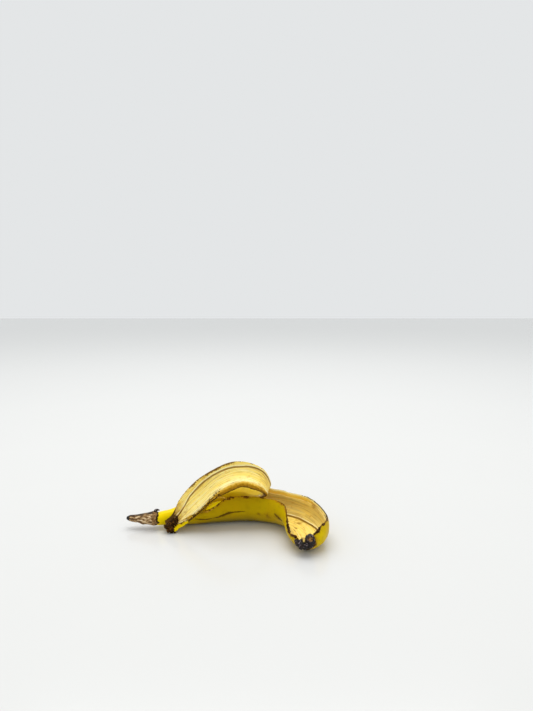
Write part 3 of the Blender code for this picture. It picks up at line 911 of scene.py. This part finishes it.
tan = node(tree, "Math", streak, 0.8, tan, **TIMES_PLUS)
colour = node(tree, "ValToRGB", node(tree, "MapRange", tan, 0.6, 1.7), stops=(
    (0.0, "#FFF2B4"), (0.2, "#FFEA94"), (0.4, "#FFDE68"),
    (0.62, "#E8CF76"), (0.8, "#CBB362"), (1.0, "#8E7232")))
# Coats from the lowest up: what each follows, where it begins and is full, its cover and its colour.
for follows, begins, full, covers, paint in (
        (off_string, 0.035, 0, 0.6, "#B08020"),
        (speck, 0.58, 0.72, 0.4, "#C08A26"),
        # Golden where the tone is below zero: a painted glow and painted highlights along the rims, where the
        # yellow rind also shows through.
        (yellow_and_glow, 0.25, -0.15, 0.8, "#F2C408"),
        (off_highlight, 0.9, 0.2, 0.85, "#FFF4B8"),
        (off_brown_and_shade, 1.2, 0.5, 0.85, "#855A0C"),
        (frayed_edge, 5.1, 4.2, 0.85, "#63380C"),
        (bruised, 1.35, 1.8, 0.6, "#B07A1C"),
        (bruised, 1.7, 2.05, 0.9, "#4E2E0C")):
    share = node(tree, "MapRange", follows, begins, full, 0, covers, **SMOOTH)
    colour = node(tree, "Mix", share, colour, paint, **PAINT)
tree.links.new(colour, shader["Base Color"])
tree.links.new(node(tree, "Math", sponge, 0.2, 0.5, **TIMES_PLUS), shader["Roughness"])
fibre = node(tree, "Math", band, 0.8, streak, **TIMES_PLUS)
fibre = node(tree, "Math", sponge, 0.4, fibre, **TIMES_PLUS)
tree.links.new(node(tree, "Bump", 0.7, 0.0004, None, fibre), shader["Normal"])
shader["Specular IOR Level"].default_value = 0.2
shader["Specular Tint"].default_value = linear("#FFEAB0")
shader["Subsurface Weight"].default_value = 0.2
shader["Subsurface Scale"].default_value = 2.5 * MM
shader["Subsurface Radius"].default_value = (1.0, 0.75, 0.3)

# Torn flesh: dark and dry at the rind, olive-brown and orange-tan inwards, and fibrous, so its
# colours run in ragged threads half a millimetre wide.
torn_finish, tree, shader, place = begin("torn_browned_flesh", 0.6)
mark = {name: node(tree, "Attribute", attribute_name=name, give="Fac") for name in ("lip", "tone", "brown")}
flat_place = node(tree, "UVMap", uv_map="skin")
stretched = node(tree, "Mapping", flat_place, None, None, (1 / (6 * MM), 1 / (0.6 * MM), 1))
thread = node(tree, "TexNoise", stretched, 1, 3)
clump = node(tree, "TexNoise", place, 1 / (2.2 * MM), 3)
fleck = node(tree, "TexNoise", place, 1 / (1.4 * MM), 3)
paler = node(tree, "Math", mark["tone"], -1.6, 2.6, **TIMES_PLUS)
inwards = node(tree, "Math", mark["lip"], paler, **TIMES)
inwards = node(tree, "Math", clump, 0.45, inwards, **TIMES_PLUS)
inwards = node(tree, "Math", thread, 0.45, inwards, **TIMES_PLUS)
colour = node(tree, "ValToRGB", node(tree, "Math", inwards, -0.45, **PLUS), stops=(
    (0.0, "#241305"), (0.12, "#4A2E08"), (0.3, "#86600A"),
    (0.55, "#B28012"), (0.8, "#E8B83E"), (1.0, "#FFEC98")))
yellow_and_glow = node(tree, "Math", thread, 0.8, mark["tone"], **TIMES_PLUS)
browned = node(tree, "Math", fleck, 1.6, mark["brown"], **TIMES_PLUS)
for follows, begins, full, covers, paint in (
        # Golden where the tone is far below zero: the far lip's painted glow of light through it.
        (yellow_and_glow, -1.3, -2.1, 0.8, "#F6C800"),
        (browned, 1.2, 1.4, 0.92, "#2A1608")):
    share = node(tree, "MapRange", follows, begins, full, 0, covers, **SMOOTH)
    colour = node(tree, "Mix", share, colour, paint, **PAINT)
tree.links.new(colour, shader["Base Color"])
tree.links.new(node(tree, "Math", clump, 0.3, 0.45, **TIMES_PLUS), shader["Roughness"])
fibre = node(tree, "Math", clump, 0.6, thread, **TIMES_PLUS)
tree.links.new(node(tree, "Bump", 0.8, 0.0004, None, fibre), shader["Normal"])
shader["Specular IOR Level"].default_value = 0.2
shader["Specular Tint"].default_value = linear("#FFD880")

# Dry stem: dead fibre bundles along it, brown where they lie low and pinkish tan on the ribs, black
# at its broken tip and blackened round the collar.
stem_finish, tree, shader, place = begin("dry_fibrous_stem", 0.8)
mark = {name: node(tree, "Attribute", attribute_name=name, give="Fac") for name in ("along", "brown", "dry")}
stretched = node(tree, "Mapping", place, None, None, (1 / (9 * MM), 1 / (1.5 * MM), 1 / (1.5 * MM)))
bundle = node(tree, "TexNoise", stretched, 1, 4, 0.6)
tint = node(tree, "TexNoise", place, 1 / (5 * MM), 2)
flake = node(tree, "TexNoise", place, 1 / (0.8 * MM), 2)
height = node(tree, "Math", tint, 0.4, bundle, **TIMES_PLUS)
shade = node(tree, "Math", tint, 1.2, mark["brown"], **TIMES_PLUS)
from_collar = node(tree, "Math", tint, 2.4, mark["dry"], **TIMES_PLUS)
from_tip = node(tree, "Math", tint, 2.5, mark["along"], **TIMES_PLUS)
colour = node(tree, "ValToRGB", node(tree, "MapRange", height, 0.48, 0.98), stops=(
    (0.1, "#2E1B0E"), (0.3, "#6B4A24"), (0.48, "#9C7642"), (0.62, "#D8B888"), (0.8, "#F0DCBC")))
for follows, begins, full, covers, paint in (
        (flake, 0.55, 0.7, 0.45, "#4A2F1A"),
        (shade, 0.95, 1.4, 0.9, "#1E110A"),
        (from_collar, 3.0, 1.8, 0.9, "#23130A"),
        (from_tip, -27.0, -28.4, 1, "#0E0806")):
    share = node(tree, "MapRange", follows, begins, full, 0, covers, **SMOOTH)
    colour = node(tree, "Mix", share, colour, paint, **PAINT)
tree.links.new(colour, shader["Base Color"])
tree.links.new(node(tree, "Bump", 0.9, 0.0006, None, bundle), shader["Normal"])

for finish in (rind_finish, lining_finish, torn_finish, stem_finish):
    peel.data.materials.append(finish)
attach(peel, "root")
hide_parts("peel")

# ------------------------------------------------------------------------------ Blossom end
# Where the flower sat, the skin ends in a dead knob: blackened, knobbly, glossy scraps of skin
# round a short dry stub, whose hollow tip shows paler pith. A tooth of lining hangs over it.

# Centre and half sizes of each lump.
BLOSSOM = (
    ((63.2, -71.0, 10.4), (5.4, 4.0, 3.9)),
    ((66.0, -69.2, 8.0), (6.0, 2.4, 4.0)),
    ((59.0, -71.2, 10.2), (2.8, 2.6, 2.6)),
    ((61.0, -73.4, 8.6), (2.5, 2.2, 2.5)),
    ((64.8, -74.0, 8.8), (2.6, 2.2, 2.5)),
    ((68.8, -72.6, 10.2), (2.9, 2.6, 3.0)),
    ((62.4, -73.8, 11.4), (2.2, 1.9, 2.0)),
    ((65.8, -74.4, 11.4), (2.0, 1.7, 1.9)),
    ((57.4, -69.6, 11.8), (1.8, 2.4, 1.6)),
    ((71.8, -71.2, 12.0), (1.9, 2.2, 2.6)),
)
STUB = (69.0, -72.2, 14.7)
STUB_WAY = (0.12, -0.86, 0.5)
# Distance along the stub and radius, up its outside, over its rim and down into the hollow tip.
STUB_PROFILE = (
    (-4.5, 3.2), (-2.5, 3.8), (-0.5, 4.1), (1.2, 4.0), (2.2, 3.5),
    (2.6, 2.7), (2.2, 2.1), (1.2, 1.8), (0.8, 1.3), (1.0, 0.6),
)
# Place and radius at points along the tooth.
TOOTH = (
    (61.4, -66.0, 7.5, 0.5),
    (61.8, -68.0, 11.2, 1.1),
    (62.5, -70.2, 14.6, 1.3),
    (63.1, -72.8, 15.9, 1.3),
    (63.5, -74.8, 15.3, 1.1),
    (63.6, -75.8, 14.0, 0.6),
)


def knob(centre, half_sizes, seed, rough, count):
    """Knobbly lump: a ball stretched to its half sizes, whose radius varies with two sizes of
    unevenness round it. Gives a grid from pole to pole, flat where it would sink into the table."""
    rise = np.linspace(0, math.pi, count // 2 + 1)[:, None]
    turn = np.linspace(0, 2 * math.pi, count + 1)[None, :]
    around = turn / (2 * math.pi)
    bumps = uneven(rise * 1.6, around * 6, seed, 6) + 0.7 * uneven(rise * 4.5, around * 15, seed + 1, 15)
    bumps = bumps * np.sin(rise) ** 0.7
    ball = np.stack((np.sin(rise) * np.cos(turn), np.sin(rise) * np.sin(turn), np.cos(rise) + 0 * turn), -1)
    grid = np.array(centre) + ball * np.array(half_sizes) * (1 + rough * bumps)[..., None]
    grid[..., 2] = np.maximum(grid[..., 2], 0)
    return grid


def cluster(balls, seed, rough):
    """A knobbly lump for each centre and half sizes. The first is the largest, so its grid is finer."""
    return [knob(centre, half_sizes, seed + 3 * count, rough, 44 if count else 72)
            for count, (centre, half_sizes) in enumerate(balls)]


def closed(grid, axis):
    """The grid, closed at both ends by a row that lies on its axis."""
    ends = [np.broadcast_to(axis[end], grid[:1].shape) for end in (0, -1)]
    return np.concatenate((ends[0], grid, ends[1]))


def spun(centre, way, profile, seed, rough, count, steps=44):
    """Turned lump: a profile of distance along an axis and radius, carried round it, with its radius
    uneven. Its two ends close on the axis."""
    way = np.array(way) / np.linalg.norm(way)
    side = np.cross(way, (0, 0, 1))
    side = side / np.linalg.norm(side)
    up = np.cross(side, way)
    stations = np.column_stack((np.arange(len(profile)), profile))
    fine = blend(stations, np.linspace(0, len(profile) - 1, steps))
    turn = np.linspace(0, 2 * math.pi, count + 1)[None, :]
    around = turn / (2 * math.pi)
    lumps = uneven(np.linspace(0, 9, steps)[:, None], around * 8, seed, 8)
    lumps = lumps + 0.5 * uneven(np.linspace(0, 22, steps)[:, None], around * 17, seed + 1, 17)
    radius = fine[:, 1:] * (1 + rough * lumps)
    axis = np.array(centre) + fine[:, :1] * way
    out = np.cos(turn)[..., None] * side + np.sin(turn)[..., None] * up
    return closed(axis[:, None] + radius[..., None] * out, axis)


def tapered(path, seed, flat=0.55, count=20, steps=36, rough=0.22):
    """Flake or thread: an oval ring carried along a smooth path, whose radius is blended along it
    and is uneven. It narrows to a point at both ends."""
    path = np.array(path)
    along = np.append(0, np.cumsum(np.linalg.norm(np.diff(path[:, :3], axis=0), axis=1)))
    at = np.linspace(0, along[-1], steps)
    line = blend(np.column_stack((along, path)), at)
    centre, radius = line[:, :3], line[:, 3:]
    way = np.gradient(centre, at, axis=0)
    way = way / np.linalg.norm(way, axis=1, keepdims=True)
    side = np.cross(way, (0.0, 1.0, 0.25))
    side = side / np.linalg.norm(side, axis=1, keepdims=True)
    deep = np.cross(side, way)
    turn = np.linspace(0, 2 * math.pi, count + 1)[None, :]
    radius = radius * (1 + rough * uneven(at[:, None] / 1.3, turn / (2 * math.pi) * 5, seed, 5))
    grid = centre[:, None] + (radius * np.cos(turn))[..., None] * side[:, None]
    grid = grid + (flat * radius * np.sin(turn))[..., None] * deep[:, None]
    grid[..., 2] = np.maximum(grid[..., 2], 0)
    return closed(grid, centre)


def add_lumps(name, grids, finish, **marks):
    """Object of closed lumps in one finish, each a grid that is wrapped round, with the marks given."""
    points, faces, finishes, kept, corner_marks = sewn([patch(grid, 0, False, **marks) for grid in grids])
    piece = add_mesh(name, points, faces, kept, corner_marks)
    piece.data.materials.append(finish)
    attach(piece, "root")
    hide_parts("peel")


# Dead skin of the knob: charred black-brown with pale purple-grey specks painted on as glints, in
# crumbs of a millimetre and a half. The stub's hollow shows tan pith.
knob_finish, tree, shader, place = begin("blackened_sap_skin", 0.32)
hollow = node(tree, "Attribute", attribute_name="tone", give="Fac")
crumb = node(tree, "TexNoise", place, 1 / (1.5 * MM), 3)
patchy = node(tree, "TexNoise", place, 1 / (2.6 * MM), 2)
# The palest stops are painted glints.
colour = node(tree, "ValToRGB", crumb, stops=(
    (0.3, "#080504"), (0.52, "#1B110D"), (0.62, "#4A3A3A"), (0.7, "#BCAEB2")))
share = node(tree, "MapRange", patchy, 0.52, 0.66, 0, 0.6, **SMOOTH)
colour = node(tree, "Mix", share, colour, "#2E1808", **PAINT)
pith = node(tree, "Mix", node(tree, "MapRange", crumb, 0.35, 0.65), "#3C260E", "#C89A58", **PAINT)
colour = node(tree, "Mix", hollow, colour, pith, **PAINT)
tree.links.new(colour, shader["Base Color"])
tree.links.new(node(tree, "Math", crumb, 0.5, 0.2, **TIMES_PLUS), shader["Roughness"])
tree.links.new(node(tree, "Bump", 0.9, 0.0007, None, crumb), shader["Normal"])
shader["Specular IOR Level"].default_value = 0.3

add_lumps("blossom_knob", cluster(BLOSSOM, 61, 0.24), knob_finish)
stub = spun(STUB, STUB_WAY, STUB_PROFILE, 95, 0.2, 56)
add_lumps("blossom_stub", [stub], knob_finish, tone=ease(np.arange(len(stub)), 27, 31)[:, None])
add_lumps("lining_tooth", [tapered(TOOTH, 98, 0.6)], lining_finish, tone=0.15, edge=FAR_OFF, line=FAR_OFF)

# ------------------------------------------------------------------------------ Bruised strip end
# The strip's end was the soft tip round the flower's scar. It is crushed to a dark brown pulp that
# dried in lumps on the skin and stands on the table.

# Centre and half sizes of each lump.
BRUISED = (
    ((-58.6, -26.8, 6.0), (4.8, 3.8, 5.0)),
    ((-60.0, -27.4, 8.6), (2.8, 2.6, 3.4)),
    ((-56.0, -28.2, 11.0), (2.6, 2.2, 3.8)),
    ((-53.2, -27.6, 13.6), (1.7, 1.8, 3.0)),
    ((-62.8, -28.4, 6.4), (2.4, 2.4, 2.2)),
    ((-60.8, -29.2, 3.0), (2.2, 2.2, 2.0)),
    ((-58.0, -29.4, 2.0), (1.8, 1.8, 1.6)),
    ((-54.0, -28.2, 9.0), (1.9, 1.8, 2.8)),
    ((-58.6, -29.6, 6.8), (2.2, 1.6, 2.4)),
    ((-55.4, -29.6, 1.1), (1.1, 1.2, 1.0)),
)

# Dried pulp: matt brown to black clots, crumbly over a millimetre and patchy over four.
pulp_finish, tree, shader, place = begin("dried_brown_pulp", 0.55)
crumb = node(tree, "TexNoise", place, 1 / (1.3 * MM), 4)
clot = node(tree, "TexNoise", place, 1 / (4 * MM), 2)
colour = node(tree, "ValToRGB", crumb, stops=(
    (0.3, "#0C0602"), (0.5, "#341C06"), (0.62, "#643C0C"), (0.78, "#A07030")))
share = node(tree, "MapRange", clot, 0.5, 0.62, 0, 0.6, **SMOOTH)
colour = node(tree, "Mix", share, colour, "#140A03", **PAINT)
tree.links.new(colour, shader["Base Color"])
tree.links.new(node(tree, "Math", crumb, 0.4, 0.3, **TIMES_PLUS), shader["Roughness"])
tree.links.new(node(tree, "Bump", 0.9, 0.0005, None, crumb), shader["Normal"])
shader["Specular IOR Level"].default_value = 0.15
shader["Specular Tint"].default_value = linear("#FFD8A0")

add_lumps("bruised_end", cluster(BRUISED, 131, 0.3), pulp_finish)

# ------------------------------------------------------------------------------ Torn scraps
# Scraps that the tear left along the strip's near edge, all grown on the skin: a tan curl of flesh,
# a bare shred and a pale one by the bruised end, a blade of rind below that end, and a lens of skin
# that bulges from the slit, with a brown border under it.

# Place and radius at points along each scrap.
TAN_SHRED = (
    (-20.4, -28.8, 32.0, 0.3), (-17.2, -28.7, 34.0, 0.9), (-13.2, -28.2, 35.0, 1.1),
    (-9.2, -27.6, 34.4, 0.9), (-5.8, -27.0, 32.4, 0.3),
)
BARE_SHRED = (
    (-46.8, -30.4, 14.0, 0.3), (-43.4, -30.5, 15.2, 0.8),
    (-39.6, -30.6, 17.3, 1.0), (-36.0, -30.3, 19.2, 0.3),
)
LENS_BORDER = (
    (-29.4, -19.2, 17.0, 0.3), (-26.2, -19.6, 16.9, 0.8), (-22.8, -19.5, 18.3, 0.6),
    (-19.2, -19.1, 20.6, 0.6), (-15.6, -18.2, 23.6, 0.3),
)
PALE_SHRED = (
    (-50.6, -30.3, 11.7, 0.3), (-48.4, -30.4, 12.9, 0.7),
    (-45.6, -30.7, 13.1, 0.8), (-43.2, -30.8, 12.4, 0.3),
)
SKIN_LENS = (
    (-26.4, -19.0, 18.8, 0.7), (-23.7, -18.6, 20.9, 1.6), (-20.2, -18.3, 23.0, 1.9),
    (-16.4, -17.9, 25.0, 1.2), (-12.4, -17.4, 26.8, 0.3),
)
SKIN_BLADE = (
    (-45.6, -28.4, 10.9, 0.4), (-48.6, -28.7, 8.6, 1.2), (-51.8, -29.1, 5.8, 1.4),
    (-54.4, -29.4, 3.2, 1.2), (-56.2, -29.5, 1.4, 0.5),
)

shreds = [tapered(TAN_SHRED, 181), tapered(BARE_SHRED, 183), tapered(LENS_BORDER, 185)]
add_lumps("tan_shreds", shreds, torn_finish, lip=0.4, tone=0.6, brown=0.4)
add_lumps("pale_shred", [tapered(PALE_SHRED, 187)], lining_finish, tone=-0.2, edge=FAR_OFF, line=FAR_OFF)
# The lens keeps the rind's brightest yellow, as at 0 mm along the body, a painted highlight where the strip
# above shades it.
add_lumps("skin_lens", [tapered(SKIN_LENS, 189, 0.8)], rind_finish, edge=FAR_OFF, line=FAR_OFF)
blade = tapered(SKIN_BLADE, 193, 0.5, rough=0.12)
add_lumps("skin_blade", [blade], rind_finish, edge=FAR_OFF, line=FAR_OFF)

# ------------------------------------------------------------------------------ Crusts of the rim
# Near the blossom end the torn rim has dried to dark brittle crumbs, which sit along it in two ragged
# rows: one up the near rim and one over the far rim, where the peel bends down to the knob.

# Distance along the body and size of the crumbs there.
NEAR_CRUMBS = (
    (138, 0.2), (146, 0.6), (152, 0.45), (158, 0.15), (170, 0.3), (176, 1.1), (190, 1.4), (194, 0.8),
)
FAR_CRUMBS = ((164, 0.2), (167, 0.9), (174, 0.8), (182, 0.9), (190, 1.1), (194, 0.7))
LEAST_CRUMB = 0.12


def crust(side, sizes, seed):
    """Row of crumbs: an oval ring carried along the middle of one rim, whose radius is interpolated
    from sizes at distances along the body and broken up by two lengths of unevenness."""
    at, size = np.array(sizes).T
    there = (rows >= at[0]) & (rows <= at[-1])
    rim = ((rind[:, side] + lining[:, side]) / 2)[there][::2]
    along = rows[there][::2]
    rough = 1 + 0.6 * uneven(along / 2.6, seed, 61) + 0.5 * uneven(along / 1.3, seed, 62)
    radius = np.maximum(np.interp(along, at, size) * rough, LEAST_CRUMB)
    return tapered(np.column_stack((rim, radius)), seed, 0.9, 16, 150, 0.3)


add_lumps("rim_crusts", [crust(0, NEAR_CRUMBS, 7), crust(-1, FAR_CRUMBS, 11)], pulp_finish)

# ------------------------------------------------------------------------------ Collar scraps
# Dead black skin curls off the stem's collar: one flake is rooted in it on top, stands up and hooks
# over towards the fruit.

# Place and radius at points along it.
HOOK = (
    (-75.6, -17.9, 14.2, 2.0),
    (-76.0, -18.1, 15.6, 1.8),
    (-75.6, -18.2, 17.0, 1.5),
    (-74.4, -18.2, 18.0, 1.3),
    (-72.8, -18.1, 18.3, 1.0),
    (-71.4, -18.0, 17.8, 0.5),
)

add_lumps("collar_scraps", [tapered(HOOK, 171)], knob_finish)

# ------------------------------------------------------------------------------ Table and light
# A pale glossy table top, a big soft light over it and a little behind, and a pale grey room. Places
# are in metres.
LAMP_PLACE = (0.0, 0.5, 1.6)
LAMP_TILT = -17
EYE_PLACE = (0.03904, -0.48308, 0.2273)
EYE_TILT = 83.12

bpy.ops.mesh.primitive_plane_add(size=8)
table_top = bpy.context.object
table_top.name = "table_top"
lacquer, tree, shader, place = begin("white_lacquered_top", 0.2)
shader["Base Color"].default_value = linear("#DEDEDC")
table_top.data.materials.append(lacquer)

room = bpy.data.worlds.new("pale_room")
room.use_nodes = True
sky = room.node_tree.nodes["Background"].inputs
sky["Color"].default_value = linear("#D7D9DA")
sky["Strength"].default_value = 1.14
bpy.context.scene.world = room

softbox = bpy.data.lights.new("softbox", "AREA")
softbox.shape, softbox.size, softbox.energy = "SQUARE", 1.6, 18.6
softbox.color = (1.0, 0.99, 0.98)
hung = bpy.data.objects.new("softbox", softbox)
hung.location = LAMP_PLACE
hung.rotation_euler = (math.radians(LAMP_TILT), 0, 0)
bpy.context.scene.collection.objects.link(hung)

lens = bpy.data.cameras.new("camera")
lens.lens, lens.sensor_width, lens.clip_start = 27.04, 36.0, 0.01
camera = bpy.data.objects.new("camera", lens)
camera.location = EYE_PLACE
camera.rotation_euler = (math.radians(EYE_TILT), 0, 0)
bpy.context.scene.collection.objects.link(camera)
bpy.context.scene.camera = camera
bpy.context.scene.view_settings.view_transform = "Standard"

bpy.context.view_layer.update()
